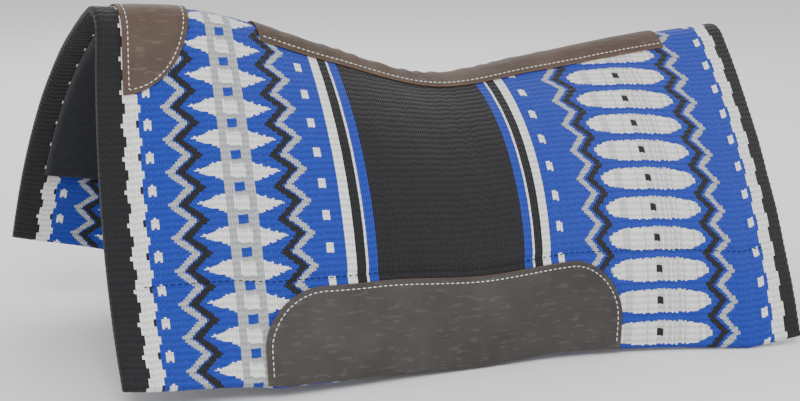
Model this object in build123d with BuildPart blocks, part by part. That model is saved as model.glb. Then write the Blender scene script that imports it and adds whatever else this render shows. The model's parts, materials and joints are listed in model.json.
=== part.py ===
"""Contoured western saddle pad: woven blanket top, felt liner, leather trim and stitching.

Frame: +X towards the withers, +Y to the left side, +Z up, in millimetres. The origin lies on
the surface the pad stands on, under the middle of the spine.
"""
from math import atan2, cos, pi, radians, sin, sqrt, tan
import os

from build123d import *

# ---- Driving dimensions -------------------------------------------------------------------
PAD_LENGTH = 850.0          # along the spine
SIDE_DROP = 457.0           # along the cloth from the uncut spine to the lower edge
CONTOUR_CUT = 44.0          # cloth taken out at the deepest point of the spine's contour
CONTOUR_START = 0.20        # the contour, as shares of the length from the front
CONTOUR_RUN = 0.72
SPINE_RADIUS = 36.0         # outer bend over the spine
BLANKET_THICK = 10.0
FELT_THICK = 13.0
LAYER_GAP = 0.9             # air between neighbouring layers
LEATHER_THICK = 2.6
THREAD_THICK = 0.8

# How the pad hangs, front to rear at even steps: spine height, lean of the sides from the
# vertical at their top and at their lower edge (degrees), and how far the lower edge is
# carried forward of the spine.
SPINE_HEIGHT = (424.5, 411.5, 363.5, 320.5, 334.5, 352.5, 365.5)
LEAN_TOP = (7.0, 43.0, 72.0, 60.0, 46.0)
LEAN_EDGE = (41.0, 12.0, -10.0, 3.0, 28.0)
RIGHT_FRONT_LEAN = (67.0, 16.0)   # the right front corner is lifted and swung out
RIGHT_FRONT_FADE = 0.4            # share of the length over which that evens out
FORWARD_CARRY = (35.0, 26.0, 50.0)

# Felt liner, set in from the blanket's edges
FELT_SET_BACK = 24.0
FELT_SET_UP = 108.0
LINER_STITCH_UP = 119.0

# Leathers, measured on the cloth: front and rear from the front edge, reach from the spine
WITHER_FRONT = 28.0
WITHER_REAR = 112.0
WITHER_REACH = 118.0
SPINE_STRIP_FRONT = 196.0
SPINE_STRIP_REAR = 752.0
SPINE_STRIP_HALF = 38.0
WITHER_STATIONS = (0.0, 0.25, 0.5, 0.7, 0.85, 0.95, 0.995)
WEAR_FRONT = 156.0
WEAR_REAR = 614.0
WEAR_HEIGHT = 108.0
WEAR_CORNER = 72.0
WEAR_EDGE_GAP = 1.5         # the leather stops just short of the blanket's lower edge

# Stitches
STITCH_LENGTH = 4.2
STITCH_PITCH = 6.4
STITCH_WIDTH = 1.1
STITCH_INSET = 6.5
STITCH_RISE = 12.0          # lowest stitches of a wear leather, above the lower edge
LINER_STITCH_PITCH = 9.0
LINER_STITCH_IN = 14.0      # in from the felt's front and rear edges
THREAD_GAP = 1.2
FRAME_SHIFT = Pos(-16.6, 7.7, 0.5)  # puts the origin under the middle of the whole pad

# Fold lines of the two flaps: their height, and their distance from the middle at the front
# and at the rear of the pad. Each flap closes and spreads by FOLD_LIMIT degrees.
FOLD_HEIGHT = 205.0
FOLD_LEFT = (95.0, 150.0)
FOLD_RIGHT = (215.0, 125.0)
FOLD_CUT_LEAN = 31.0        # the cut lies square to cloth with this lean
FOLD_LIMIT = 20.0
FOLD_MARGIN = 2.0           # degrees left over at the limits
FOLD_SLOT = 1.4             # width of the gap right at the fold line
FOLD_REACH = 120.0

LEFT = 1
RIGHT = -1
SECTION_STEPS = 18          # lengthwise steps of a full-length loft
SPINE_BEND_REACH = 70.0     # the stretch beside the spine that is sampled closely
BEND_STEPS = 8
SIDE_STEPS = 7
os.makedirs("parts", exist_ok=True)


# ---- The hanging shape --------------------------------------------------------------------
def through(values, share):
    """Smooth curve through evenly spaced values, read at a share of the way along."""
    last = len(values) - 1
    place = min(max(share, 0.0), 1.0) * last
    index = min(int(place), last - 1)
    w = place - index
    b, c = values[index], values[index + 1]
    a = values[index - 1] if index > 0 else 2 * b - c
    d = values[index + 2] if index + 2 <= last else 2 * c - b
    return b + 0.5 * w * (c - a + w * (2 * a - 5 * b + 4 * c - d + w * (3 * (b - c) + d - a)))


def contour(share):
    """Cloth cut away at the spine, at a share of the length from the front."""
    along = min(max((share - CONTOUR_START) / CONTOUR_RUN, 0.0), 1.0)
    return CONTOUR_CUT * sin(pi * along)


def drop(share):
    """Length of one side from the spine to the lower edge, along the cloth."""
    return SIDE_DROP - contour(share)


def leans(share, side):
    """Lean of one side at its top and at its lower edge, in radians."""
    top = through(LEAN_TOP, share)
    edge = through(LEAN_EDGE, share)
    if side == RIGHT:
        lift = max(0.0, 1.0 - share / RIGHT_FRONT_FADE)
        top += (RIGHT_FRONT_LEAN[0] - LEAN_TOP[0]) * lift
        edge += (RIGHT_FRONT_LEAN[1] - LEAN_EDGE[0]) * lift
    return radians(top), radians(edge)


def on_section(share, reach, depth, side):
    """Across and down from the spine, for a point at a reach along the cloth and a depth in it."""
    top, edge = leans(share, side)
    arc = SPINE_RADIUS * (pi / 2 - top)
    if reach < arc:
        turn = reach / SPINE_RADIUS
        lean = pi / 2 - turn
        across = SPINE_RADIUS * sin(turn)
        down = SPINE_RADIUS * (1 - cos(turn))
    else:
        flank = drop(share) - arc
        bend = (edge - top) / flank
        lean = top + bend * (reach - arc)
        across = SPINE_RADIUS * cos(top) + (cos(top) - cos(lean)) / bend
        down = SPINE_RADIUS * (1 - sin(top)) + (sin(lean) - sin(top)) / bend
    return side * (across - depth * cos(lean)), down + depth * sin(lean), lean


def section_plane(share):
    """Leaning plane of the cross-section at a share of the length, its Y axis up."""
    height = through(SPINE_HEIGHT, share)
    forward = through(FORWARD_CARRY, share) / height
    up = Vector(-forward, 0, 1).normalized()
    across = Vector(0, 1, 0)
    spine = (PAD_LENGTH * (0.5 - share), 0, height)
    return Plane(origin=spine, x_dir=across, z_dir=across.cross(up))


def section_point(share, reach, depth, side):
    """The same point in the section plane's own coordinates."""
    across, down, _ = on_section(share, reach, depth, side)
    height = through(SPINE_HEIGHT, share)
    stretch = 1 / cos(atan2(through(FORWARD_CARRY, share), height))
    return across, -down * stretch


def cloth_frame(share, reach, depth, side):
    """A point in the pad's frame, and the way out of the cloth there."""
    across, down, lean = on_section(share, reach, depth, side)
    height = through(SPINE_HEIGHT, share)
    forward = through(FORWARD_CARRY, share) / height * down
    place = Vector(PAD_LENGTH * (0.5 - share) + forward, across, height - down)
    return place, Vector(0, side * cos(lean), sin(lean))


def reaches(reach_end):
    """Sample reaches of one side, close together over the spine's bend."""
    bend = min(SPINE_BEND_REACH, reach_end / 2)
    over_bend = [bend * step / BEND_STEPS for step in range(BEND_STEPS)]
    down_side = [bend + (reach_end - bend) * step / SIDE_STEPS for step in range(SIDE_STEPS + 1)]
    return over_bend + down_side


def band_face(share, reach_end, outer, inner):
    """Face of one layer across the whole cross-section, both sides of the spine."""
    def row(depth):
        right = [section_point(share, reach, depth, RIGHT) for reach in reaches(reach_end)]
        left = [section_point(share, reach, depth, LEFT) for reach in reaches(reach_end)]
        return right[:0:-1] + left

    top_row = row(outer)
    under_row = row(inner)
    with BuildSketch(section_plane(share)) as face:
        with BuildLine():
            Spline(*top_row)
            Line(top_row[-1], under_row[-1])
            Spline(*under_row[::-1])
            Line(under_row[0], top_row[0])
        make_face()
    return face.sketch


def side_face(share, reach_start, reach_end, outer, inner, side):
    """Face of one layer on one side only, between two reaches."""
    steps = [reach_start + (reach_end - reach_start) * part / 4 for part in range(5)]
    top_row = [section_point(share, reach, outer, side) for reach in steps]
    under_row = [section_point(share, reach, inner, side) for reach in steps]
    with BuildSketch(section_plane(share)) as face:
        with BuildLine():
            Spline(*top_row)
            Line(top_row[-1], under_row[-1])
            Spline(*under_row[::-1])
            Line(under_row[0], top_row[0])
        make_face()
    return face.sketch


def stations(front, rear):
    """Shares of the length for a loft: its two ends, and the pad's even steps in between."""
    even = [step / SECTION_STEPS for step in range(SECTION_STEPS + 1)]
    clear = 0.25 / SECTION_STEPS
    low, high = front / PAD_LENGTH, rear / PAD_LENGTH
    return [low] + [share for share in even if low + clear < share < high - clear] + [high]


# ---- Blanket and felt, whole, then cut at the two fold lines --------------------------------
FELT_FACE = BLANKET_THICK + LAYER_GAP
FELT_BACK = FELT_FACE + FELT_THICK

with BuildPart() as blanket:
    blanket_faces = [
        band_face(share, drop(share), 0, BLANKET_THICK)
        for share in stations(0, PAD_LENGTH)
    ]
    loft(blanket_faces)

with BuildPart() as felt:
    felt_faces = [
        band_face(share, drop(share) - FELT_SET_UP, FELT_FACE, FELT_BACK)
        for share in stations(FELT_SET_BACK, PAD_LENGTH - FELT_SET_BACK)
    ]
    loft(felt_faces)

half_gap = FOLD_REACH * tan(radians((FOLD_LIMIT + FOLD_MARGIN) / 2))

with BuildPart() as fold_gaps:
    for side, (front_across, rear_across) in ((LEFT, FOLD_LEFT), (RIGHT, FOLD_RIGHT)):
        front = Vector(PAD_LENGTH / 2, side * front_across, FOLD_HEIGHT)
        rear = Vector(-PAD_LENGTH / 2, side * rear_across, FOLD_HEIGHT)
        along = (rear - front).normalized()
        outward = Vector(0, side * cos(radians(FOLD_CUT_LEAN)), sin(radians(FOLD_CUT_LEAN)))
        overrun = front - along * PAD_LENGTH / 10
        with BuildSketch(Plane(origin=overrun, x_dir=outward, z_dir=along)):
            for way in (1, -1):
                with BuildLine():
                    Polyline(
                        (0, -FOLD_SLOT / 2),
                        (way * FOLD_REACH, -half_gap),
                        (way * FOLD_REACH, half_gap),
                        (0, FOLD_SLOT / 2),
                        close=True,
                    )
                make_face()
        extrude(amount=(rear - front).length + PAD_LENGTH / 5)

layers = (("blanket", blanket), ("felt", felt))
for layer_name, layer in layers:
    with BuildPart() as cut_layer:
        add(layer.part)
        add(fold_gaps.part, mode=Mode.SUBTRACT)
    right_flap, ridge, left_flap = cut_layer.part.solids().sort_by(Axis.Y)
    pieces = (("right_flap", right_flap), ("ridge", ridge), ("left_flap", left_flap))
    for place_name, solid in pieces:
        with BuildPart() as piece:
            add(solid)
        piece.part.label = f"{layer_name}_{place_name}"
        export_step(FRAME_SHIFT * piece.part, f"parts/{piece.part.label}.step")


# ---- Leathers -------------------------------------------------------------------------------
LEATHER_FACE = -(LAYER_GAP + LEATHER_THICK)
LEATHER_BACK = -LAYER_GAP


def wither_reach(part):
    """Reach of the half-round wither leather, at a part of its depth from its front edge."""
    return WITHER_REACH * sqrt(1 - part**2)


def wear_height(from_front):
    """Height of the wear leather above its lower edge, at a distance from its front end."""
    from_end = min(from_front, WEAR_REAR - WEAR_FRONT - from_front)
    if from_end >= WEAR_CORNER:
        return WEAR_HEIGHT
    return WEAR_HEIGHT - WEAR_CORNER + sqrt(WEAR_CORNER**2 - (WEAR_CORNER - from_end) ** 2)


def wear_stations():
    """Distances from the wear leather's front end, close together round its corners."""
    turns = [pi / 2 * step / 5 for step in range(6)]
    front_corner = [WEAR_CORNER * (1 - cos(turn)) for turn in turns]
    width = WEAR_REAR - WEAR_FRONT
    middle = [WEAR_CORNER + (width - 2 * WEAR_CORNER) * step / 6 for step in range(1, 6)]
    return front_corner + middle + [width - place for place in front_corner[::-1]]


with BuildPart() as wither_leather:
    wither_faces = []
    for part in WITHER_STATIONS:
        share = (WITHER_FRONT + (WITHER_REAR - WITHER_FRONT) * part) / PAD_LENGTH
        wither_faces.append(band_face(share, wither_reach(part), LEATHER_FACE, LEATHER_BACK))
    loft(wither_faces)
wither_leather.part.label = "wither_leather"
export_step(FRAME_SHIFT * wither_leather.part, "parts/wither_leather.step")

with BuildPart() as spine_leather:
    strip_faces = [
        band_face(share, SPINE_STRIP_HALF, LEATHER_FACE, LEATHER_BACK)
        for share in stations(SPINE_STRIP_FRONT, SPINE_STRIP_REAR)
    ]
    loft(strip_faces)
spine_leather.part.label = "spine_leather"
export_step(FRAME_SHIFT * spine_leather.part, "parts/spine_leather.step")

SIDE_NAMES = {LEFT: "left", RIGHT: "right"}
for side, side_name in SIDE_NAMES.items():
    with BuildPart() as wear_leather:
        wear_faces = []
        for from_front in wear_stations():
            share = (WEAR_FRONT + from_front) / PAD_LENGTH
            low = drop(share) - WEAR_EDGE_GAP
            high = low - wear_height(from_front)
            wear_faces.append(side_face(share, high, low, LEATHER_FACE, LEATHER_BACK, side))
        loft(wear_faces)
    wear_leather.part.label = f"wear_leather_{side_name}"
    export_step(FRAME_SHIFT * wear_leather.part, f"parts/{wear_leather.part.label}.step")


# ---- Stitching ------------------------------------------------------------------------------
def stitch_planes(path, pitch, depth, side):
    """Planes for stitches at an even pitch along a path of (from the front, reach) points."""
    frames = [cloth_frame(front / PAD_LENGTH, reach, depth, side) for front, reach in path]
    planes = []
    left_over = pitch / 2
    for (start, outward), (end, _) in zip(frames, frames[1:]):
        run = (end - start).length
        while left_over <= run:
            place = start + (end - start) * (left_over / run)
            planes.append(Plane(origin=place, x_dir=end - start, z_dir=outward))
            left_over += pitch
        left_over -= run
    return planes


def even_steps(start, end, count):
    """Evenly spaced values from start to end."""
    return [start + (end - start) * step / count for step in range(count + 1)]


def wither_path():
    """Stitch path inset from the wither leather's edge, from its front to its rear."""
    front = WITHER_FRONT + STITCH_INSET
    depth = WITHER_REAR - WITHER_FRONT - 2 * STITCH_INSET
    reach = WITHER_REACH - STITCH_INSET
    down_front = [(front, part * reach) for part in even_steps(0, 1, 20)]
    turns = even_steps(0, pi / 2, 30)
    return down_front + [(front + depth * sin(turn), reach * cos(turn)) for turn in turns[1:]]


def wear_path():
    """Stitch path inset from the wear leather's sides and top, from its front to its rear."""
    corner = WEAR_CORNER - STITCH_INSET
    front = WEAR_FRONT + STITCH_INSET
    rear = WEAR_REAR - STITCH_INSET
    top = WEAR_HEIGHT + WEAR_EDGE_GAP - STITCH_INSET
    path = [(front, STITCH_RISE), (front, top - corner)]
    for turn in even_steps(0, pi / 2, 12):
        path.append((front + corner * (1 - cos(turn)), top - corner * (1 - sin(turn))))
    path += [(place, top) for place in even_steps(front + corner, rear - corner, 30)[1:]]
    for turn in even_steps(pi / 2, 0, 12):
        path.append((rear - corner * (1 - cos(turn)), top - corner * (1 - sin(turn))))
    path.append((rear, STITCH_RISE))
    return [(place, drop(place / PAD_LENGTH) - height) for place, height in path]


THREAD_ON_LEATHER = LEATHER_FACE - THREAD_THICK / 2 - THREAD_GAP
THREAD_ON_BLANKET = -THREAD_THICK / 2 - THREAD_GAP

with BuildPart() as wither_stitching:
    for side in SIDE_NAMES:
        with Locations(*stitch_planes(wither_path(), STITCH_PITCH, THREAD_ON_LEATHER, side)):
            Box(STITCH_LENGTH, STITCH_WIDTH, THREAD_THICK)
wither_stitching.part.label = "wither_stitching"
export_step(FRAME_SHIFT * wither_stitching.part, "parts/wither_stitching.step")

spine_path = [
    (place, SPINE_STRIP_HALF - STITCH_INSET)
    for place in even_steps(SPINE_STRIP_FRONT + STITCH_INSET, SPINE_STRIP_REAR - STITCH_INSET, 60)
]
with BuildPart() as spine_stitching:
    for side in SIDE_NAMES:
        with Locations(*stitch_planes(spine_path, STITCH_PITCH, THREAD_ON_LEATHER, side)):
            Box(STITCH_LENGTH, STITCH_WIDTH, THREAD_THICK)
spine_stitching.part.label = "spine_stitching"
export_step(FRAME_SHIFT * spine_stitching.part, "parts/spine_stitching.step")

liner_ends = (FELT_SET_BACK + LINER_STITCH_IN, PAD_LENGTH - FELT_SET_BACK - LINER_STITCH_IN)
liner_path = [
    (place, drop(place / PAD_LENGTH) - LINER_STITCH_UP)
    for place in even_steps(*liner_ends, 80)
]
for side, side_name in SIDE_NAMES.items():
    with BuildPart() as wear_stitching:
        with Locations(*stitch_planes(wear_path(), STITCH_PITCH, THREAD_ON_LEATHER, side)):
            Box(STITCH_LENGTH, STITCH_WIDTH, THREAD_THICK)
    wear_stitching.part.label = f"wear_stitching_{side_name}"
    export_step(FRAME_SHIFT * wear_stitching.part, f"parts/{wear_stitching.part.label}.step")

    with BuildPart() as liner_stitching:
        with Locations(*stitch_planes(liner_path, LINER_STITCH_PITCH, THREAD_ON_BLANKET, side)):
            Box(STITCH_LENGTH, STITCH_WIDTH, THREAD_THICK)
    liner_stitching.part.label = f"liner_stitching_{side_name}"
    export_step(FRAME_SHIFT * liner_stitching.part, f"parts/{liner_stitching.part.label}.step")
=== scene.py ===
"""Contoured western saddle pad: the woven, felt and leather pieces round their CAD frame."""
import json
import logging
from dataclasses import dataclass, field
from enum import Enum
from math import cos, pi, radians, sin
from typing import Optional, Union

import bmesh
import bpy
import numpy as np
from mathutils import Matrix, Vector


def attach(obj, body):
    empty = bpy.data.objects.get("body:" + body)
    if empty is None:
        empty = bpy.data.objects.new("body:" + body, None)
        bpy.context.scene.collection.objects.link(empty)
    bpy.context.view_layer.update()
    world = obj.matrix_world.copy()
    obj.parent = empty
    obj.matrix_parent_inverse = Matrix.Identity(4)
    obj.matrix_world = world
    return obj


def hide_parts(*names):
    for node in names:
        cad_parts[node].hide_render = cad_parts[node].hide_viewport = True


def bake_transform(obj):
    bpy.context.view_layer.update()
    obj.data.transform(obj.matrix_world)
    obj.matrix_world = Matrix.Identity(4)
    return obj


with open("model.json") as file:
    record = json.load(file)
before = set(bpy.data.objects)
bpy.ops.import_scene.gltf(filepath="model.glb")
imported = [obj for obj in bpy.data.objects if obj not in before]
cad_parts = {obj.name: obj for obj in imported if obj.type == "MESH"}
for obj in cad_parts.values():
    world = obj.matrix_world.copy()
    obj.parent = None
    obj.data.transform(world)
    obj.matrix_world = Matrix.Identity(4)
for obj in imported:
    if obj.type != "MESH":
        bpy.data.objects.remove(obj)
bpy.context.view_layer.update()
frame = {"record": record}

LOG = logging.getLogger("saddle_pad")
MM = 0.001
Socket = bpy.types.NodeSocket
Value = Union[float, Socket]
Colour = tuple[float, float, float]


class Side(Enum):
    """The two sides of the pad, with the sign of their Y."""

    LEFT = 1
    RIGHT = -1

    @property
    def word(self) -> str:
        """The side's name in node and piece names."""
        return self.name.lower()


# ---- The hanging cloth ----------------------------------------------------------------------
@dataclass(frozen=True)
class HangingCloth:
    """The surface that every layer follows, from distances on the cloth to the pad's frame."""

    length: float = 850 * MM
    side_drop: float = 457 * MM
    contour_cut: float = 44 * MM
    contour_start: float = 0.20
    contour_run: float = 0.72
    spine_radius: float = 36 * MM
    spine_height: tuple[float, ...] = (424.5, 411.5, 363.5, 320.5, 334.5, 352.5, 365.5)
    lean_top: tuple[float, ...] = (7, 43, 72, 60, 46)
    lean_edge: tuple[float, ...] = (41, 12, -10, 3, 28)
    right_front_lean: tuple[float, float] = (67, 16)
    right_front_fade: float = 0.4
    forward_carry: tuple[float, ...] = (35, 26, 50)
    frame_shift: tuple[float, float, float] = (-16.6 * MM, 7.7 * MM, 0.5 * MM)

    @staticmethod
    def through(values: tuple[float, ...], share: np.ndarray) -> np.ndarray:
        """Reads a smooth curve through evenly spaced values.

        Args:
            values: The values that the curve passes through.
            share: Where to read it, from 0 to 1.

        Returns:
            The curve's value at each share.
        """
        known = np.array([2 * values[0] - values[1], *values, 2 * values[-1] - values[-2]], float)
        last = len(values) - 1
        place = np.clip(share, 0, 1) * last
        index = np.minimum(place.astype(int), last - 1)
        w = place - index
        a, b, c, d = (known[index + step] for step in range(4))
        return b + 0.5 * w * (c - a + w * (2 * a - 5 * b + 4 * c - d + w * (3 * (b - c) + d - a)))

    def contour(self, front: np.ndarray) -> np.ndarray:
        """Cloth cut away at the spine, at distances from the front edge."""
        along = np.clip((front / self.length - self.contour_start) / self.contour_run, 0, 1)
        return self.contour_cut * np.sin(pi * along)

    def drop(self, front: np.ndarray) -> np.ndarray:
        """Length of one side from the spine to the lower edge."""
        return self.side_drop - self.contour(front)

    def place(self, front: np.ndarray, reach: np.ndarray, depth: np.ndarray) -> np.ndarray:
        """Places points of the cloth in the pad's frame.

        Args:
            front: Distances from the front edge.
            reach: Distances from the spine, negative on the right side.
            depth: Distances below the blanket's face.

        Returns:
            The points, with their coordinates on the last axis.
        """
        side = np.where(reach < 0, -1.0, 1.0)
        reach = np.abs(reach)
        share = front / self.length
        lift = np.where(side < 0, np.clip(1 - share / self.right_front_fade, 0, 1), 0)
        top = self.through(self.lean_top, share)
        edge = self.through(self.lean_edge, share)
        top = np.radians(top + (self.right_front_lean[0] - self.lean_top[0]) * lift)
        edge = np.radians(edge + (self.right_front_lean[1] - self.lean_edge[0]) * lift)
        radius = self.spine_radius
        arc = radius * (pi / 2 - top)
        bend = (edge - top) / (self.drop(front) - arc)
        bend = np.where(np.abs(bend) < 1e-4, 1e-4, bend)
        turn = reach / radius
        flank = top + bend * (reach - arc)
        over = reach < arc
        lean = np.where(over, pi / 2 - turn, flank)
        across = np.where(
            over, radius * np.sin(turn), radius * np.cos(top) + (np.cos(top) - np.cos(flank)) / bend
        )
        down = np.where(
            over,
            radius * (1 - np.cos(turn)),
            radius * (1 - np.sin(top)) + (np.sin(flank) - np.sin(top)) / bend,
        )
        height = self.through(self.spine_height, share) * MM
        carry = self.through(self.forward_carry, share) * MM / height
        down = down + depth * np.sin(lean)
        x = self.length * 0.5 - front + carry * down
        place = np.stack([x, side * (across - depth * np.cos(lean)), height - down], axis=-1)
        return place + np.array(self.frame_shift)


CLOTH = HangingCloth()
BLANKET_THICK = 10 * MM
FELT_THICK = 13 * MM
LAYER_GAP = 0.9 * MM
LEATHER_THICK = 2.6 * MM
FELT_SET_BACK = 24 * MM
FELT_SET_UP = 108 * MM
LINER_STITCH_UP = 119 * MM
REPEAT = 38.1 * MM          # one saw-tooth of the weave, down the side
YARN = 2.75 * MM


def ripple(front: np.ndarray, reach: np.ndarray) -> np.ndarray:
    """Gentle unevenness of hand-woven cloth, from -1 to 1."""
    slow = np.sin(front * 41 + 1.3) * np.sin(reach * 57 + 0.4)
    quick = np.sin(front * 97 + reach * 61 + 2.1) * np.sin(reach * 133 - front * 29)
    return 0.6 * slow + 0.4 * quick


def spaced(start: float, end: float, step: float, rim: float, rounded: tuple[bool, bool]) -> np.ndarray:
    """Spaces out values evenly, closer together at the ends that are rounded.

    Args:
        start: First value.
        end: Last value.
        step: The even spacing, about.
        rim: How far in from an end its rounding reaches.
        rounded: Whether the first and the last end are rounded.

    Returns:
        The values in order.
    """
    curve = rim * (1 - np.cos(np.linspace(0, pi / 2, 6)[:-1]))
    low = start + curve if rounded[0] else np.array([])
    high = end - curve[::-1] if rounded[1] else np.array([])
    inner_start = start + rim if rounded[0] else start
    inner_end = end - rim if rounded[1] else end
    count = max(2, round((inner_end - inner_start) / step) + 1)
    return np.concatenate([low, np.linspace(inner_start, inner_end, count), high])


@dataclass
class Layer:
    """A closed slab of soft material that follows the cloth, with rounded edges.

    Attributes:
        front: Grid of distances from the front edge.
        reach: Grid of distances from the spine, negative on the right side.
        edge: Grid of distances from the layer's own nearest edge.
        middle: Depth of the layer's middle below the blanket's face.
        thick: The layer's thickness.
        rim: How far in from an edge its rounding reaches.
        lift: Extra height of the outer face at each grid point.
        knots: How far the edge swells and thins, as a share of the thickness.
    """

    front: np.ndarray
    reach: np.ndarray
    edge: np.ndarray
    middle: float
    thick: float
    rim: float
    lift: Union[float, np.ndarray] = 0.0
    knots: float = 0.0

    def build(self, name: str, finish: bpy.types.Material) -> bpy.types.Object:
        """Builds the slab as a mesh object.

        Args:
            name: The piece's name.
            finish: Its material.

        Returns:
            The new object.
        """
        near = np.clip(self.edge / self.rim, 0, 1)
        half = 0.5 * self.thick * np.sqrt(np.maximum(1 - (1 - near) ** 2, 0.03))
        beads = np.sin((self.front + np.abs(self.reach)) * 2 * pi / (8.5 * MM))
        half = half * (1 + self.knots * beads * (1 - near))
        outer = CLOTH.place(self.front, self.reach, self.middle - half - self.lift)
        inner = CLOTH.place(self.front, self.reach, self.middle + half)
        rows, columns = self.front.shape
        count = rows * columns
        at = np.arange(count).reshape(rows, columns)
        top = np.stack([at[:-1, :-1], at[1:, :-1], at[1:, 1:], at[:-1, 1:]], -1).reshape(-1, 4)
        border = np.concatenate([at[0, :], at[1:, -1], at[-1, -2::-1], at[-2::-1, 0]])
        wall = np.stack([border[:-1], border[1:], border[1:] + count, border[:-1] + count], -1)
        faces = np.concatenate([top, top[:, ::-1] + count, wall])
        mesh = bpy.data.meshes.new(name)
        points = np.concatenate([outer.reshape(-1, 3), inner.reshape(-1, 3)])
        mesh.from_pydata(points.tolist(), [], faces.tolist())
        self._write_marks(mesh)
        shell = bmesh.new()
        shell.from_mesh(mesh)
        bmesh.ops.recalc_face_normals(shell, faces=shell.faces)
        shell.to_mesh(mesh)
        shell.free()
        mesh.shade_smooth()
        mesh.set_sharp_from_angle(angle=radians(62))
        mesh.materials.append(finish)
        piece = bpy.data.objects.new(name, mesh)
        bpy.context.scene.collection.objects.link(piece)
        LOG.info("%s: %d faces", name, len(mesh.polygons))
        return piece

    def _write_marks(self, mesh: bpy.types.Mesh) -> None:
        """Writes the cloth coordinates and the closeness to an edge onto the mesh."""
        pattern = np.stack([self.front, np.abs(self.reach) + CLOTH.contour(self.front)], -1)
        flat = np.tile(pattern.reshape(-1, 2), (2, 1))
        corners = np.empty(len(mesh.loops), int)
        mesh.loops.foreach_get("vertex_index", corners)
        mesh.uv_layers.new(name="cloth").data.foreach_set("uv", flat[corners].astype(np.float32).ravel())
        closeness = np.tile(1 - np.clip(self.edge / (2 * self.rim), 0, 1).reshape(-1), 2)
        mark = mesh.attributes.new("rim", "FLOAT", "POINT")
        mark.data.foreach_set("value", closeness.astype(np.float32))


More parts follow.
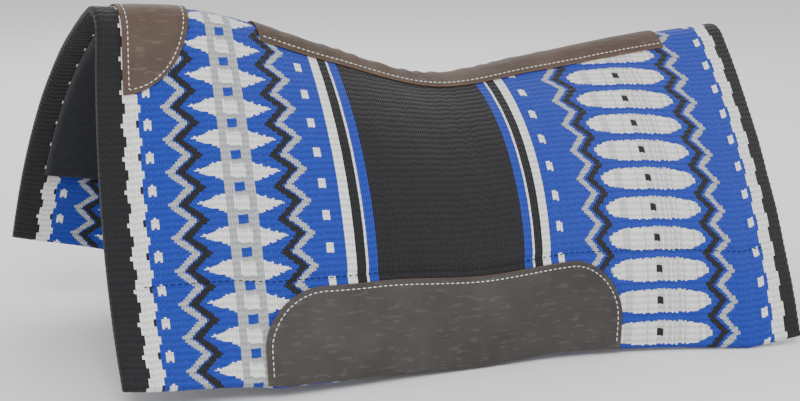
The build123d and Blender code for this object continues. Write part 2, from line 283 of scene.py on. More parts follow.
# ---- Finishes -------------------------------------------------------------------------------
class Wiring:
    """Short words for wiring a material's nodes."""

    def __init__(self, name: str) -> None:
        """Makes the material with a lone principled shader.

        Args:
            name: The material's name.
        """
        self.material = bpy.data.materials.new(name)
        self.material.use_nodes = True
        self.tree = self.material.node_tree
        self.tree.nodes.clear()
        self.shader = self.tree.nodes.new("ShaderNodeBsdfPrincipled")
        output = self.tree.nodes.new("ShaderNodeOutputMaterial")
        self.tree.links.new(self.shader.outputs["BSDF"], output.inputs["Surface"])

    def put(self, socket: Socket, value: Union[Value, Colour]) -> None:
        """Links a socket to another, or sets its own value."""
        if isinstance(value, bpy.types.NodeSocket):
            self.tree.links.new(value, socket)
        elif isinstance(value, tuple) and len(value) == 3 and socket.type == "RGBA":
            socket.default_value = (*value, 1.0)
        else:
            socket.default_value = value

    def math(self, operation: str, a: Value, b: Value = 0.0, c: Value = 0.0) -> Socket:
        """One math node.

        Args:
            operation: Blender's name of the operation.
            a: First value.
            b: Second value.
            c: Third value, such as a comparison's tolerance.

        Returns:
            The node's result.
        """
        node = self.tree.nodes.new("ShaderNodeMath")
        node.operation = operation
        for socket, value in zip(node.inputs, (a, b, c)):
            self.put(socket, value)
        return node.outputs[0]

    def within(self, value: Value, middle: Value, half: float) -> Socket:
        """1 where a value lies within half of the middle, else 0."""
        return self.math("COMPARE", value, middle, half)

    def mix(self, share: Value, a: Union[Colour, Socket], b: Union[Colour, Socket]) -> Socket:
        """Mixes colour b over colour a by a share."""
        node = self.tree.nodes.new("ShaderNodeMix")
        node.data_type = "RGBA"
        self.put(node.inputs[0], share)
        self.put(node.inputs[6], a)
        self.put(node.inputs[7], b)
        return node.outputs[2]

    def scaled(self, colour: Socket, by: Value) -> Socket:
        """Brightens or darkens a colour."""
        node = self.tree.nodes.new("ShaderNodeVectorMath")
        node.operation = "SCALE"
        self.put(node.inputs[0], colour)
        self.put(node.inputs["Scale"], by)
        return node.outputs[0]

    def vector(self, x: Value, y: Value, z: Value = 0.0) -> Socket:
        """Joins three values into a vector."""
        node = self.tree.nodes.new("ShaderNodeCombineXYZ")
        for socket, value in zip(node.inputs, (x, y, z)):
            self.put(socket, value)
        return node.outputs[0]

    def noise(self, place: Socket, scale: float, detail: float = 3.0) -> Socket:
        """Smooth noise from 0 to 1 at a place."""
        node = self.tree.nodes.new("ShaderNodeTexNoise")
        self.put(node.inputs["Vector"], place)
        node.inputs["Scale"].default_value = scale
        node.inputs["Detail"].default_value = detail
        return node.outputs[0]

    def cells(self, place: Socket, scale: float) -> Socket:
        """Distance to the nearest of many scattered points."""
        node = self.tree.nodes.new("ShaderNodeTexVoronoi")
        self.put(node.inputs["Vector"], place)
        node.inputs["Scale"].default_value = scale
        return node.outputs["Distance"]

    def dice(self, number: Value) -> Socket:
        """A fixed random value from 0 to 1 for each number."""
        node = self.tree.nodes.new("ShaderNodeTexWhiteNoise")
        node.noise_dimensions = "1D"
        self.put(node.inputs["W"], number)
        return node.outputs["Value"]

    def object_place(self) -> Socket:
        """The point's place in the pad's frame."""
        return self.tree.nodes.new("ShaderNodeTexCoord").outputs["Object"]

    def cloth_mm(self) -> tuple[Socket, Socket]:
        """Distances on the cloth in millimetres: from the front edge, and down the side."""
        uv = self.tree.nodes.new("ShaderNodeUVMap")
        uv.uv_map = "cloth"
        parts = self.tree.nodes.new("ShaderNodeSeparateXYZ")
        self.put(parts.inputs[0], uv.outputs[0])
        along, down = (self.math("MULTIPLY", part, 1 / MM) for part in parts.outputs[:2])
        return along, down

    def rim(self) -> Socket:
        """Closeness to the piece's edge, from 0 to 1."""
        node = self.tree.nodes.new("ShaderNodeAttribute")
        node.attribute_name = "rim"
        return node.outputs["Fac"]

    def bump(self, height: Socket, distance: float, strength: float) -> None:
        """Gives the shader a relief.

        Args:
            height: Height of the relief, from 0 to 1.
            distance: Its depth in metres.
            strength: How much of it shows.
        """
        node = self.tree.nodes.new("ShaderNodeBump")
        node.inputs["Distance"].default_value = distance
        node.inputs["Strength"].default_value = strength
        self.put(node.inputs["Height"], height)
        self.put(self.shader.inputs["Normal"], node.outputs[0])

    def surface(self, colour: Union[Colour, Socket], roughness: Value, sheen: float = 0.0) -> None:
        """Sets the shader's colour, roughness and sheen."""
        self.put(self.shader.inputs["Base Color"], colour)
        self.put(self.shader.inputs["Roughness"], roughness)
        self.shader.inputs["Sheen Weight"].default_value = sheen
        self.shader.inputs["Specular IOR Level"].default_value = 0.3


@dataclass(frozen=True)
class SawtoothGroup:
    """One group of the weave: motifs in a column, with saw-tooth lines to both sides of it.

    Attributes:
        middle: Distance of the motifs' middle from the front edge, in millimetres.
        black_out: Distance of the black saw-tooth from the middle, at its outer tips.
        grey_out: The same for the grey saw-tooth.
        swing: How far in their inner tips are.
        dots_out: Distance of the column of dots from the middle.
    """

    middle: float
    black_out: float
    grey_out: float
    swing: float
    dots_out: float


@dataclass(frozen=True)
class WovenFinish:
    """The striped saw-tooth weave, in wool yarns that run down the side."""

    black: Colour = (0.012, 0.012, 0.014)
    blue: Colour = (0.010, 0.038, 0.34)
    white: Colour = (0.74, 0.74, 0.73)
    grey: Colour = (0.36, 0.37, 0.39)
    front_group: SawtoothGroup = SawtoothGroup(146, 61, 73, 20, 92)
    rear_group: SawtoothGroup = SawtoothGroup(667, 84, 99, 18, 137)
    wavy_stripes: tuple[float, float] = (36, 821)
    stripe_half: float = 8
    fields: tuple[tuple[float, float], ...] = ((44, 292), (478, 813))
    white_bars: tuple[tuple[float, float], ...] = ((256, 266.5), (278, 281.5), (488.5, 492), (503, 513.5))
    black_bars: tuple[tuple[float, float], ...] = ((266.5, 278), (492, 503))

    def make(self) -> bpy.types.Material:
        """Wires the weave.

        Returns:
            The material.
        """
        kit = Wiring("woven_blanket")
        along, down = kit.cloth_mm()
        yarn = YARN / MM
        number = kit.math("FLOOR", kit.math("DIVIDE", along, yarn))
        luck = kit.dice(number)
        across = kit.math("MULTIPLY", kit.math("ADD", number, 0.5), yarn)
        uneven = kit.math("MULTIPLY", kit.math("SUBTRACT", luck, 0.5), 2.6)
        repeats = kit.math("DIVIDE", kit.math("ADD", down, uneven), REPEAT / MM)
        tooth = kit.math("FRACT", repeats)
        swing = kit.math("MULTIPLY", kit.math("ABSOLUTE", kit.math("SUBTRACT", tooth, 0.5)), 2.0)

        colour: Union[Colour, Socket] = self.black
        bands = ((self.fields, self.blue), (self.white_bars, self.white), (self.black_bars, self.black))
        for spans, tone in bands:
            for low, high in spans:
                span = kit.within(across, (low + high) / 2, (high - low) / 2)
                colour = kit.mix(span, colour, tone)
        wave = kit.math("MULTIPLY", kit.math("SUBTRACT", swing, 0.5), 5.0)
        for middle, way in zip(self.wavy_stripes, (1, -1)):
            moved = kit.math("ADD", across, kit.math("MULTIPLY", wave, float(way)))
            colour = kit.mix(kit.within(moved, middle, self.stripe_half), colour, self.white)
        colour = self._motifs(kit, colour, across, swing, luck)

        height = self._relief(kit, along, down, luck)
        # Painted shade: the weave's colour is darkened where the relief is low, in the grooves between
        # yarns, and each yarn gets its own random tone on top.
        painted_groove_shade_and_yarn_tone = kit.math("MULTIPLY_ADD", height, 0.62, 0.52)
        painted_groove_shade_and_yarn_tone = kit.math("MULTIPLY_ADD", luck, 0.10, painted_groove_shade_and_yarn_tone)
        kit.surface(kit.scaled(colour, painted_groove_shade_and_yarn_tone), 0.92, sheen=0.12)
        kit.bump(height, 2.0 * MM, 0.9)
        return kit.material

    def _motifs(
        self, kit: Wiring, colour: Socket, across: Socket, swing: Socket, luck: Socket
    ) -> Socket:
        """Lays the saw-teeth, dots, diamonds and long ovals over the ground.

        Args:
            kit: The material being wired.
            colour: The ground's colour.
            across: Distance of the yarn from the front edge.
            swing: 1 between two motifs and 0 at the middle of one.
            luck: The yarn's own random value.

        Returns:
            The colour with the motifs on it.
        """
        for group in (self.front_group, self.rear_group):
            out = kit.math("ABSOLUTE", kit.math("SUBTRACT", across, group.middle))
            inward = kit.math("MULTIPLY", swing, group.swing)
            for tip, half, tone in (
                (group.grey_out, 4.6, self.grey), (group.black_out, 5.2, self.black)
            ):
                line = kit.math("SUBTRACT", tip, inward)
                colour = kit.mix(kit.within(out, line, half), colour, tone)
            dot = kit.math(
                "MULTIPLY", kit.within(out, group.dots_out, 3.4), kit.math("GREATER_THAN", swing, 0.70)
            )
            colour = kit.mix(dot, colour, self.white)

        out = kit.math("ABSOLUTE", kit.math("SUBTRACT", across, self.front_group.middle))
        taper = kit.math("MULTIPLY", kit.math("SUBTRACT", 1.0, kit.math("DIVIDE", swing, 0.92)), 47.0)
        colour = kit.mix(kit.math("LESS_THAN", out, taper), colour, self.white)
        bar = kit.within(out, 0.0, 15.5)
        colour = kit.mix(bar, colour, self.grey)
        heart = kit.math("MULTIPLY", kit.within(out, 0.0, 9.0), kit.math("LESS_THAN", swing, 0.42))
        colour = kit.mix(heart, colour, self.white)
        knot = kit.math("MULTIPLY", kit.within(out, 0.0, 4.6), kit.math("GREATER_THAN", swing, 0.72))
        colour = kit.mix(knot, colour, self.blue)

        out = kit.math("ABSOLUTE", kit.math("SUBTRACT", across, self.rear_group.middle))
        long_way = kit.math("POWER", kit.math("DIVIDE", out, 67.0), 3.4)
        short_way = kit.math("POWER", kit.math("DIVIDE", swing, 0.74), 2.0)
        oval = kit.math("LESS_THAN", kit.math("ADD", long_way, short_way), 1.0)
        colour = kit.mix(oval, colour, self.white)
        clouded = kit.math("MULTIPLY", oval, kit.math("GREATER_THAN", luck, 0.62))
        colour = kit.mix(kit.math("MULTIPLY", clouded, 0.55), colour, self.grey)
        eye = kit.math("MULTIPLY", kit.within(out, 0.0, 3.4), kit.math("LESS_THAN", swing, 0.24))
        return kit.mix(eye, colour, self.black)

    def _relief(self, kit: Wiring, along: Socket, down: Socket, luck: Socket) -> Socket:
        """The yarns' relief: round across, and bound down every few millimetres.

        Args:
            kit: The material being wired.
            along: Distance from the front edge.
            down: Distance down the side.
            luck: The yarn's own random value.

        Returns:
            Height from 0 to about 1.
        """
        over = kit.math("FRACT", kit.math("DIVIDE", along, YARN / MM))
        round_yarn = kit.math("SINE", kit.math("MULTIPLY", over, pi))
        shifted = kit.math("MULTIPLY_ADD", luck, 0.28, kit.math("DIVIDE", down, 7.6))
        bound = kit.math("FRACT", shifted)
        hump = kit.math("SINE", kit.math("MULTIPLY", bound, pi))
        drawn_out = kit.vector(kit.math("MULTIPLY", along, 2.4), kit.math("MULTIPLY", down, 0.7))
        fibres = kit.noise(drawn_out, 1.0)
        height = kit.math("MULTIPLY_ADD", round_yarn, 0.32, kit.math("MULTIPLY", hump, 0.5))
        return kit.math("MULTIPLY_ADD", fibres, 0.3, height)


@dataclass(frozen=True)
class FeltFinish:
    """Thick black pressed felt with lighter fibres in it."""

    ground: Colour = (0.008, 0.009, 0.012)
    fibre: Colour = (0.034, 0.036, 0.043)

    def make(self) -> bpy.types.Material:
        """Wires the felt."""
        kit = Wiring("black_felt")
        place = kit.object_place()
        fine = kit.noise(place, 900.0, 4.0)
        clumps = kit.noise(place, 120.0, 3.0)
        kit.surface(kit.mix(kit.math("MULTIPLY", fine, clumps), self.ground, self.fibre), 0.97, sheen=0.1)
        kit.bump(kit.math("ADD", fine, clumps), 1.1 * MM, 0.6)
        return kit.material


@dataclass(frozen=True)
class LeatherFinish:
    """Oiled leather with a fine grain, scuffs and a raw edge."""

    name: str
    ground: Colour
    worn: Colour
    raw_edge: Colour = (0.16, 0.085, 0.045)
    roughness: float = 0.55

    def make(self) -> bpy.types.Material:
        """Wires the leather."""
        kit = Wiring(self.name)
        place = kit.object_place()
        clouds = kit.noise(place, 16.0, 5.0)
        along, down = kit.cloth_mm()
        drawn_out = kit.vector(kit.math("MULTIPLY", along, 0.05), kit.math("MULTIPLY", down, 0.22))
        streaks = kit.noise(drawn_out, 1.0, 6.0)
        scuffs = kit.math("MULTIPLY", kit.math("GREATER_THAN", streaks, 0.60), 0.35)
        wear = kit.math("ADD", kit.math("POWER", clouds, 2.0), scuffs)
        colour = kit.mix(wear, self.ground, self.worn)
        edge = kit.math("GREATER_THAN", kit.rim(), 0.86)
        colour = kit.mix(kit.math("MULTIPLY", edge, 0.85), colour, self.raw_edge)
        grain = kit.cells(place, 850.0)
        creases = kit.noise(place, 140.0, 6.0)
        kit.surface(colour, kit.math("MULTIPLY_ADD", wear, 0.2, self.roughness))
        kit.bump(kit.math("MULTIPLY_ADD", creases, 0.8, grain), 0.35 * MM, 0.55)
        return kit.material


@dataclass(frozen=True)
class ThreadFinish:
    """Waxed, twisted thread."""

    name: str
    colour: Colour

    def make(self) -> bpy.types.Material:
        """Wires the thread."""
        kit = Wiring(self.name)
        place = kit.object_place()
        twist = kit.noise(place, 1500.0, 2.0)
        darker = tuple(part * 0.7 for part in self.colour)
        kit.surface(kit.mix(twist, self.colour, darker), 0.6)
        kit.bump(twist, 0.2 * MM, 0.5)
        return kit.material


@dataclass(frozen=True)
class FloorFinish:
    """Plain pale studio floor."""

    colour: Colour = (0.86, 0.86, 0.86)

    def make(self) -> bpy.types.Material:
        """Wires the floor."""
        kit = Wiring("studio_floor")
        kit.surface(self.colour, 0.9)
        return kit.material


# ---- Pieces ---------------------------------------------------------------------------------
@dataclass(frozen=True)
class FoldLine:
    """The line along which one side's flap folds."""

    side: Side
    half_width: float = 35 * MM
    lean: float = radians(31)

    def blend(self, piece: bpy.types.Object) -> None:
        """Reads the flap joint's axis and works out the downward direction across it, then bakes the
        piece's transform into its mesh; the piece is not bent.
        """
        joint = next(j for j in frame["record"]["behaviour"]["joints"] if j["child"] == self.body)
        axis = Vector(joint["axis"]).normalized()
        downward = Vector((0, self.side.value * sin(self.lean), -cos(self.lean)))
        downward = (downward - axis * downward.dot(axis)).normalized()
        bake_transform(piece)

    @property
    def body(self) -> str:
        """The flap's CAD body."""
        return f"{self.side.word}_flap"


@dataclass
class Blanket:
    """The woven blanket top, one half to each side of the spine."""

    finish: bpy.types.Material
    step: float = 3 * MM
    rim: float = BLANKET_THICK / 2
    sway: float = 0.55 * MM
    dent: float = 1.6 * MM
    dent_half: float = 5 * MM

    def build(self) -> None:
        """Builds both halves and hides the CAD blanket parts."""
        for side in Side:
            piece = self._half(side)
            FoldLine(side).blend(piece)
            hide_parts("blanket_ridge", f"blanket_{side.word}_flap")

    def _half(self, side: Side) -> bpy.types.Object:
        """One half, from the spine to its lower edge."""
        fronts = spaced(0, CLOTH.length, self.step, self.rim, (True, True))
        parts = spaced(0, CLOTH.side_drop, self.step, self.rim, (False, True)) / CLOTH.side_drop
        front, part = np.meshgrid(fronts, parts, indexing="ij")
        drop = CLOTH.drop(front)
        reach = part * drop
        edge = np.minimum(np.minimum(front, CLOTH.length - front), drop - reach)
        seam = np.abs(drop - reach - LINER_STITCH_UP) / self.dent_half
        lined = (front > FELT_SET_BACK) & (front < CLOTH.length - FELT_SET_BACK)
        groove = self.dent * np.exp(-seam**2) * lined
        lift = self.sway * ripple(front, reach) - groove
        signed = reach * side.value
        signed = np.where(signed == 0, side.value * 1e-9, signed)
        layer = Layer(front, signed, edge, BLANKET_THICK / 2, BLANKET_THICK, self.rim, lift, knots=0.3)
        return layer.build(f"woven_blanket_{side.word}", self.finish)


@dataclass
class Felt:
    """The felt liner under the blanket, one half to each side of the spine."""

    finish: bpy.types.Material
    step: float = 5 * MM
    rim: float = 5 * MM

    def build(self) -> None:
        """Builds both halves and hides the CAD felt parts."""
        for side in Side:
            ends = (True, True)
            fronts = spaced(FELT_SET_BACK, CLOTH.length - FELT_SET_BACK, self.step, self.rim, ends)
            length = CLOTH.side_drop - FELT_SET_UP
            parts = spaced(0, length, self.step, self.rim, (False, True)) / length
            front, part = np.meshgrid(fronts, parts, indexing="ij")
            end = CLOTH.drop(front) - FELT_SET_UP
            reach = part * end
            from_ends = np.minimum(front - fronts[0], fronts[-1] - front)
            edge = np.minimum(from_ends, end - reach)
            middle = BLANKET_THICK + LAYER_GAP + FELT_THICK / 2
            signed = np.where(reach == 0, 1e-9, reach) * side.value
            layer = Layer(front, signed, edge, middle, FELT_THICK, self.rim)
            piece = layer.build(f"felt_liner_{side.word}", self.finish)
            FoldLine(side).blend(piece)
            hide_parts("felt_ridge", f"felt_{side.word}_flap")


@dataclass
class LeatherPatch:
    """What the leather pieces have in common: their thickness, their lie and their edges."""

    finish: bpy.types.Material
    rim: float = 1.6 * MM
    middle: float = -(LAYER_GAP + LEATHER_THICK / 2)

    def lay(
        self, name: str, node: str, body: str, slot: str, front: np.ndarray, reach: np.ndarray,
        edge: np.ndarray, lift: Union[float, np.ndarray] = 0.0,
    ) -> bpy.types.Object:
        """Lays a patch on the blanket and ties it to the frame.

        Args:
            name: The piece's name.
            node: The CAD node that it stands for.
            body: The body that it rides on.
            slot: Its material slot in the record; not used.
            front: Grid of distances from the front edge.
            reach: Grid of distances from the spine.
            edge: Grid of distances from the patch's own edge.
            lift: Extra height of its face.

        Returns:
            The piece.
        """
        layer = Layer(front, reach, edge, self.middle, LEATHER_THICK, self.rim, lift)
        piece = layer.build(name, self.finish)
        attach(piece, body)
        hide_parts(node)
        return piece


@dataclass
class WitherLeather(LeatherPatch):
    """The half-round leather folded over the front of the spine."""

    front: float = 28 * MM
    rear: float = 112 * MM
    half_reach: float = 118 * MM

    def build(self) -> None:
        """Builds the patch."""
        depth = self.rear - self.front
        inward = spaced(0, depth, 3 * MM, self.rim, (True, False)) / depth
        inward = np.concatenate([inward[inward < 0.9], np.sin(np.linspace(1.13, pi / 2 - 0.02, 12))])
        across = spaced(-1, 1, 0.03, 0.014, (True, True))
        part, share = np.meshgrid(inward, across, indexing="ij")
        limit = self.half_reach * np.sqrt(1 - part**2)
        reach = share * limit
        front = self.front + depth * part
        side_edge = (1 - np.abs(share)) * np.maximum(limit, 30 * MM)
        edge = np.minimum(np.minimum(part * depth, side_edge), (1 - part) * depth * 2)
        lift = 0.35 * MM * ripple(front * 2.4, reach * 2.1) * np.clip(edge / (8 * MM), 0, 1)
        self.lay("wither_patch", "wither_leather", "ridge", "brown_leather", front, reach, edge, lift)

    def stitch_path(self, side: Side, inset: float) -> np.ndarray:
        """The stitch line of one side, inset from the edge, from front to rear."""
        front, depth = self.front + inset, self.rear - self.front - 2 * inset
        reach = self.half_reach - inset
        down = np.linspace(0, 1, 30)[:, None] * [0, reach] + [front, 0]
        turn = np.linspace(0, pi / 2, 40)[1:]
        curve = np.stack([front + depth * np.sin(turn), reach * np.cos(turn)], -1)
        return np.concatenate([down, curve]) * [1, side.value]


@dataclass
class SpineLeather(LeatherPatch):
    """The narrow strip of leather along the contoured spine, creased in the dip."""

    front: float = 196 * MM
    rear: float = 752 * MM
    half: float = 38 * MM
    crease: float = 1.3 * MM

    def build(self) -> None:
        """Builds the strip."""
        fronts = spaced(self.front, self.rear, 2.5 * MM, self.rim, (True, True))
        reaches = spaced(-self.half, self.half, 2.5 * MM, self.rim, (True, True))
        front, reach = np.meshgrid(fronts, reaches, indexing="ij")
        edge = np.minimum(
            np.minimum(front - self.front, self.rear - front), self.half - np.abs(reach)
        )
        dip = np.exp(-(((front - 0.40) / 0.15) ** 2))
        folds = np.sin(front * 230 + 26 * reach + 2 * np.sin(front * 61)) * np.cos(reach * 34)
        inside = np.clip(edge / (9 * MM), 0, 1)
        creases = self.crease * dip * np.maximum(folds, -0.2)
        lift = (creases + 0.3 * MM * ripple(front * 3, reach * 3)) * inside
        self.lay("spine_strip", "spine_leather", "ridge", "brown_leather", front, reach, edge, lift)

    def stitch_path(self, side: Side, inset: float) -> np.ndarray:
        """The stitch line along one edge of the strip."""
        fronts = np.linspace(self.front + inset, self.rear - inset, 200)
        return np.stack([fronts, np.full_like(fronts, side.value * (self.half - inset))], -1)


@dataclass
class WearLeather(LeatherPatch):
    """The D-shaped leather low on each side, where the fender and the cinch rub."""

    front: float = 156 * MM
    rear: float = 614 * MM
    height: float = 108 * MM
    corner: float = 72 * MM
    low_gap: float = 1.5 * MM

    def tall(self, front: np.ndarray) -> np.ndarray:
        """Height of the leather at distances from the pad's front edge."""
        from_end = np.minimum(front - self.front, self.rear - front)
        inside = np.clip(self.corner - from_end, 0, self.corner)
        return self.height - self.corner + np.sqrt(self.corner**2 - inside**2)

    def build(self) -> None:
        """Builds both leathers."""
        turn = np.linspace(0, pi / 2, 26)
        corner = self.corner * (1 - np.cos(turn))
        straight = np.linspace(self.front + self.corner, self.rear - self.corner, 90)[1:-1]
        fronts = np.concatenate([self.front + corner, straight, self.rear - corner[::-1]])
        shares = spaced(0, 1, 0.035, 0.016, (True, True))
        front, share = np.meshgrid(fronts, shares, indexing="ij")
        tall = self.tall(front)
        from_end = np.minimum(front - self.front, self.rear - front)
        edge = np.minimum(np.minimum(share, 1 - share) * np.maximum(tall, 90 * MM), from_end)
        for side in Side:
            reach = CLOTH.drop(front) - self.low_gap - share * tall
            lift = 0.3 * MM * ripple(front * 1.7, reach * 1.9) * np.clip(edge / (8 * MM), 0, 1)
            self.lay(
                f"wear_patch_{side.word}", f"wear_leather_{side.word}", FoldLine(side).body,
                "charcoal_leather", front, reach * side.value, edge, lift,
            )

    def stitch_path(self, side: Side, inset: float, rise: float = 12 * MM) -> np.ndarray:
        """The stitch line up one end, over the top and down the other."""
        inner = WearLeather(
            self.finish, front=self.front + inset, rear=self.rear - inset,
            height=self.height - inset, corner=self.corner - inset,
        )
        turn = np.linspace(0, pi / 2, 40)
        corner = inner.corner * (1 - np.cos(turn))
        straight = np.linspace(inner.front + inner.corner, inner.rear - inner.corner, 80)[1:-1]
        fronts = np.concatenate([inner.front + corner, straight, inner.rear - corner[::-1]])
        above = inner.tall(fronts)
        low_ends = np.linspace(rise, above[0], 12)[:-1]
        fronts = np.concatenate([np.full(11, fronts[0]), fronts, np.full(11, fronts[-1])])
        above = np.concatenate([low_ends, above, low_ends[::-1]])
        reach = (CLOTH.drop(fronts) - self.low_gap - above) * side.value
        return np.stack([fronts, reach], -1)


# ---- Stitching ------------------------------------------------------------------------------
@dataclass
class Stitcher:
    """Sets rows of stitches along paths on the cloth."""

    pitch: float = 6.4 * MM
    length: float = 4.9 * MM
    width: float = 1.35 * MM
    _tree: Optional[bpy.types.NodeTree] = field(default=None, init=False)

    def tree(self) -> bpy.types.NodeTree:
        """The node tree that turns a path into a row of stitches, built once."""
        if self._tree is not None:
            return self._tree
        tree = bpy.data.node_groups.new("stitch_row", "GeometryNodeTree")
        sockets = (
            ("Path", "NodeSocketGeometry"), ("Pitch", "NodeSocketFloat"),
            ("Length", "NodeSocketFloat"), ("Width", "NodeSocketFloat"),
            ("Thread", "NodeSocketMaterial"),
        )
        for name, kind in sockets:
            tree.interface.new_socket(name, in_out="INPUT", socket_type=kind)
        tree.interface.new_socket("Stitches", in_out="OUTPUT", socket_type="NodeSocketGeometry")
        add, link = tree.nodes.new, tree.links.new
        given = add("NodeGroupInput")
        result = add("NodeGroupOutput")
        curve = add("GeometryNodeMeshToCurve")
        spread = add("GeometryNodeResampleCurve")
        spread.mode = "LENGTH"
        bead = add("GeometryNodeMeshUVSphere")
        bead.inputs["Segments"].default_value = 8
        bead.inputs["Rings"].default_value = 6
        bead.inputs["Radius"].default_value = 0.5
        size = add("ShaderNodeCombineXYZ")
        uneven = add("FunctionNodeRandomValue")
        uneven.inputs[2].default_value = 0.86
        uneven.inputs[3].default_value = 1.04
        uneven.inputs["Seed"].default_value = 7
        longer = add("ShaderNodeMath")
        longer.operation = "MULTIPLY"
        tangent = add("GeometryNodeInputTangent")
        align = add("FunctionNodeAlignRotationToVector")
        align.axis = "X"
        place = add("GeometryNodeInstanceOnPoints")
        real = add("GeometryNodeRealizeInstances")
        smooth = add("GeometryNodeSetShadeSmooth")
        dress = add("GeometryNodeSetMaterial")
        link(given.outputs["Path"], curve.inputs["Mesh"])
        link(curve.outputs["Curve"], spread.inputs["Curve"])
        link(given.outputs["Pitch"], spread.inputs["Length"])
        link(spread.outputs["Curve"], place.inputs["Points"])
        link(bead.outputs["Mesh"], place.inputs["Instance"])
        link(given.outputs["Length"], longer.inputs[0])
        link(uneven.outputs[1], longer.inputs[1])
        link(longer.outputs[0], size.inputs["X"])
        link(given.outputs["Width"], size.inputs["Y"])
        link(given.outputs["Width"], size.inputs["Z"])
        link(size.outputs[0], place.inputs["Scale"])
        link(tangent.outputs[0], align.inputs["Vector"])
        link(align.outputs[0], place.inputs["Rotation"])
        link(place.outputs["Instances"], real.inputs[0])
        link(real.outputs[0], smooth.inputs[0])
        link(smooth.outputs[0], dress.inputs["Geometry"])
        link(given.outputs["Thread"], dress.inputs["Material"])
        link(dress.outputs["Geometry"], result.inputs["Stitches"])
        self._tree = tree
        return tree

    def sew(
        self, name: str, node: str, body: str, thread: bpy.types.Material,
        paths: list[np.ndarray], depth: float,
    ) -> None:
        """Sews rows of stitches and ties them to the frame as one piece.

        Args:
            name: The piece's name.
            node: The CAD node that it stands for.
            body: The body that it rides on.
            thread: The thread's material.
            paths: One path for each row, as distances from the front and from the spine.
            depth: Depth of the thread's middle below the blanket's face.
        """
        points, edges = [], []
        for path in paths:
            start = len(points)
            points += CLOTH.place(path[:, 0], path[:, 1], np.full(len(path), depth)).tolist()
            edges += [(start + step, start + step + 1) for step in range(len(path) - 1)]
        guide_mesh = bpy.data.meshes.new(f"{name}_guide")
        guide_mesh.from_pydata(points, edges, [])
        guide = bpy.data.objects.new(f"{name}_guide", guide_mesh)
        bpy.context.scene.collection.objects.link(guide)
        row = guide.modifiers.new("stitch_row", "NODES")
        row.node_group = self.tree()
        values = {"Pitch": self.pitch, "Length": self.length, "Width": self.width, "Thread": thread}
        for item in row.node_group.interface.items_tree:
            if item.in_out == "INPUT" and item.name in values:
                row[item.identifier] = values[item.name]
        bpy.context.view_layer.update()
        evaluated = guide.evaluated_get(bpy.context.evaluated_depsgraph_get())
        mesh = bpy.data.meshes.new_from_object(evaluated)
        guide.modifiers.clear()
        bpy.data.objects.remove(guide)
        mesh.name = name
        piece = bpy.data.objects.new(name, mesh)
        bpy.context.scene.collection.objects.link(piece)
        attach(piece, body)
        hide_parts(node)
        LOG.info("%s: %d faces", name, len(mesh.polygons))


def liner_path(side: Side) -> np.ndarray:
    """The line that quilts the felt's lower edge to the blanket."""
    inset = FELT_SET_BACK + 14 * MM
    fronts = np.linspace(inset, CLOTH.length - inset, 240)
    return np.stack([fronts, (CLOTH.drop(fronts) - LINER_STITCH_UP) * side.value], -1)


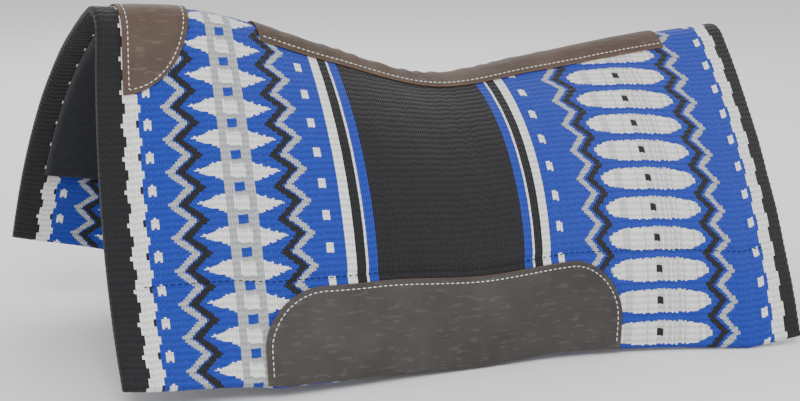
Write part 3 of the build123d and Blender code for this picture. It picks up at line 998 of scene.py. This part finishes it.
# ---- Studio ---------------------------------------------------------------------------------
@dataclass(frozen=True)
class Studio:
    """Pale floor, soft lights and the camera."""

    target: tuple[float, float, float] = (17.4 * MM, 7.7 * MM, 165.5 * MM)
    azimuth: float = radians(25.2)
    elevation: float = radians(11.4)
    distance: float = 2.4665
    lens: float = 89.0

    def aim(self, piece: bpy.types.Object, place: Vector, target: Vector) -> None:
        """Puts a light or the camera at a place, facing a target."""
        piece.location = place
        piece.rotation_euler = (target - place).to_track_quat("-Z", "Y").to_euler()
        bpy.context.scene.collection.objects.link(piece)

    def light(self, name: str, place: tuple[float, float, float], size: float, power: float) -> None:
        """Adds one soft light.

        Args:
            name: The light's name.
            place: Where it stands.
            size: Width of its panel.
            power: Its power in watts.
        """
        panel = bpy.data.lights.new(name, "AREA")
        panel.size = size
        panel.energy = power
        self.aim(bpy.data.objects.new(name, panel), Vector(place), Vector((0, 0, 0.2)))

    def build(self) -> None:
        """Sets up the floor, the surroundings, the lights and the camera."""
        mesh = bpy.data.meshes.new("floor")
        reach = 14.0
        corners = [(-reach, -reach, 0), (reach, -reach, 0), (reach, reach, 0), (-reach, reach, 0)]
        mesh.from_pydata(corners, [], [(0, 1, 2, 3)])
        mesh.materials.append(FloorFinish().make())
        floor = bpy.data.objects.new("floor", mesh)
        bpy.context.scene.collection.objects.link(floor)
        world = bpy.data.worlds.new("studio")
        world.use_nodes = True
        world.node_tree.nodes["Background"].inputs[0].default_value = (1, 1, 1, 1)
        world.node_tree.nodes["Background"].inputs[1].default_value = 0.9
        bpy.context.scene.world = world
        self.light("key", (1.4, 2.6, 2.4), 1.6, 85.0)
        self.light("fill", (-2.6, 1.8, 1.5), 2.0, 35.0)
        self.light("back", (-0.4, -2.4, 2.2), 2.0, 40.0)
        lens = bpy.data.cameras.new("camera")
        lens.lens = self.lens
        lens.clip_end = 60.0
        camera = bpy.data.objects.new("camera", lens)
        flat = cos(self.elevation)
        back = Vector((sin(self.azimuth) * flat, cos(self.azimuth) * flat, sin(self.elevation)))
        target = Vector(self.target)
        self.aim(camera, target + back * self.distance, target)
        bpy.context.scene.camera = camera


def sew_all(
    wither: WitherLeather, spine: SpineLeather, wear: WearLeather,
    white: bpy.types.Material, black: bpy.types.Material,
) -> None:
    """Sews every row of stitches.

    Args:
        wither: The wither patch.
        spine: The spine strip.
        wear: The wear leathers.
        white: White thread.
        black: Black thread.
    """
    stitcher = Stitcher()
    inset = 6.5 * MM
    on_leather = -(LAYER_GAP + LEATHER_THICK + 0.35 * MM)
    for part, name in ((wither, "wither"), (spine, "spine")):
        paths = [part.stitch_path(side, inset) for side in Side]
        stitcher.sew(
            f"{name}_thread", f"{name}_stitching", "ridge", white, paths, on_leather
        )
    quilter = Stitcher(pitch=7.5 * MM, length=5.6 * MM, width=1.3 * MM)
    for side in Side:
        body = FoldLine(side).body
        stitcher.sew(
            f"wear_thread_{side.word}", f"wear_stitching_{side.word}", body, white,
            [wear.stitch_path(side, inset)], on_leather,
        )
        quilter.sew(
            f"liner_thread_{side.word}", f"liner_stitching_{side.word}", body, black,
            [liner_path(side)], 0.9 * MM,
        )


def main() -> None:
    """Builds the pad's pieces in order, then the studio."""
    logging.basicConfig(level=logging.INFO, format="%(name)s %(message)s")
    Blanket(WovenFinish().make()).build()
    Felt(FeltFinish().make()).build()
    brown = LeatherFinish("brown_leather", (0.045, 0.030, 0.022), (0.15, 0.10, 0.075)).make()
    charcoal = LeatherFinish(
        "charcoal_leather", (0.030, 0.027, 0.026), (0.085, 0.078, 0.074), roughness=0.6
    ).make()
    wither, spine, wear = WitherLeather(brown), SpineLeather(brown), WearLeather(charcoal)
    for leather in (wither, spine, wear):
        leather.build()
    white = ThreadFinish("white_thread", (0.78, 0.76, 0.70)).make()
    black = ThreadFinish("black_thread", (0.010, 0.010, 0.012)).make()
    sew_all(wither, spine, wear, white, black)
    Studio().build()


if __name__ == "__main__":
    main()
